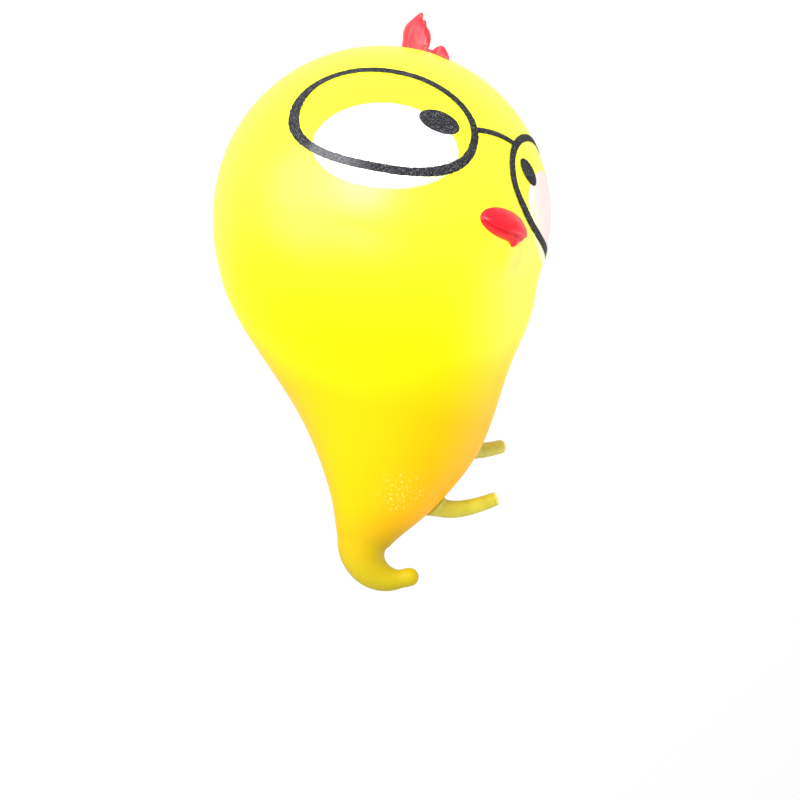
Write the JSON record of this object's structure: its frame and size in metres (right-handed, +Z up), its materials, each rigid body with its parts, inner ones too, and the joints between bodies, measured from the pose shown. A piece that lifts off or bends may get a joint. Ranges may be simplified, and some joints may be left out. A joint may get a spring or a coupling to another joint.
{
  "type": "rubber chicken",
  "caption": "Soft squeeze toy chicken with a round head, printed glasses, red comb and beak, and a lower end pinched thin and curled as if held in a fist.",
  "frame": {"origin": "middle of the fist's grip around the waist, on the head's axis", "axes": "+Z up the head's axis to the comb, -Y the way the beak faces, +X the toy's own left side"},
  "size_m": [0.0855, 0.084, 0.1369],
  "materials": {
    "yellow_rubber": "satin",
    "gel_filling": "satin",
    "plug_rubber": "satin",
    "leg_rubber": "satin",
    "red_rubber": "satin",
    "red_lacquer": "gloss",
    "black_ink": "matte",
    "white_ink": "satin"
  },
  "bodies": {
    "body": {"skin": "yellow_rubber", "filling": "gel_filling", "fill_plug": "plug_rubber"},
    "head": {"beak": "red_lacquer", "rim_left": "black_ink", "rim_right": "black_ink", "bridge": "black_ink", "eye_white_left": "white_ink", "eye_white_right": "white_ink", "pupil_left": "black_ink", "pupil_right": "black_ink"},
    "comb": {"comb": "red_rubber"},
    "leg_left": {"leg_left": "leg_rubber"},
    "leg_right": {"leg_right": "leg_rubber"}
  },
  "joints": [
    {"name": "head_nod", "type": "hinge", "parent": "body", "child": "head", "pos_m": [0.005, -0.005, 0.012], "axis": [1, 0, 0], "range_deg": [-22, 22], "stiffness_Nm_per_rad": 0.9, "deforming": ["skin", "filling"]},
    {"name": "comb_flex", "type": "hinge", "parent": "head", "child": "comb", "pos_m": [0, 0, 0.0905], "axis": [0, 1, 0], "range_deg": [-35, 35], "stiffness_Nm_per_rad": 0.002},
    {"name": "leg_left_flex", "type": "hinge", "parent": "body", "child": "leg_left", "pos_m": [0.03, 0.004, 0], "axis": [0, 0, 1], "range_deg": [-35, 35], "stiffness_Nm_per_rad": 0.004},
    {"name": "leg_right_flex", "type": "hinge", "parent": "body", "child": "leg_right", "pos_m": [0.02, -0.015, -0.015], "axis": [0, 0, 1], "range_deg": [-35, 35], "stiffness_Nm_per_rad": 0.004}
  ]
}
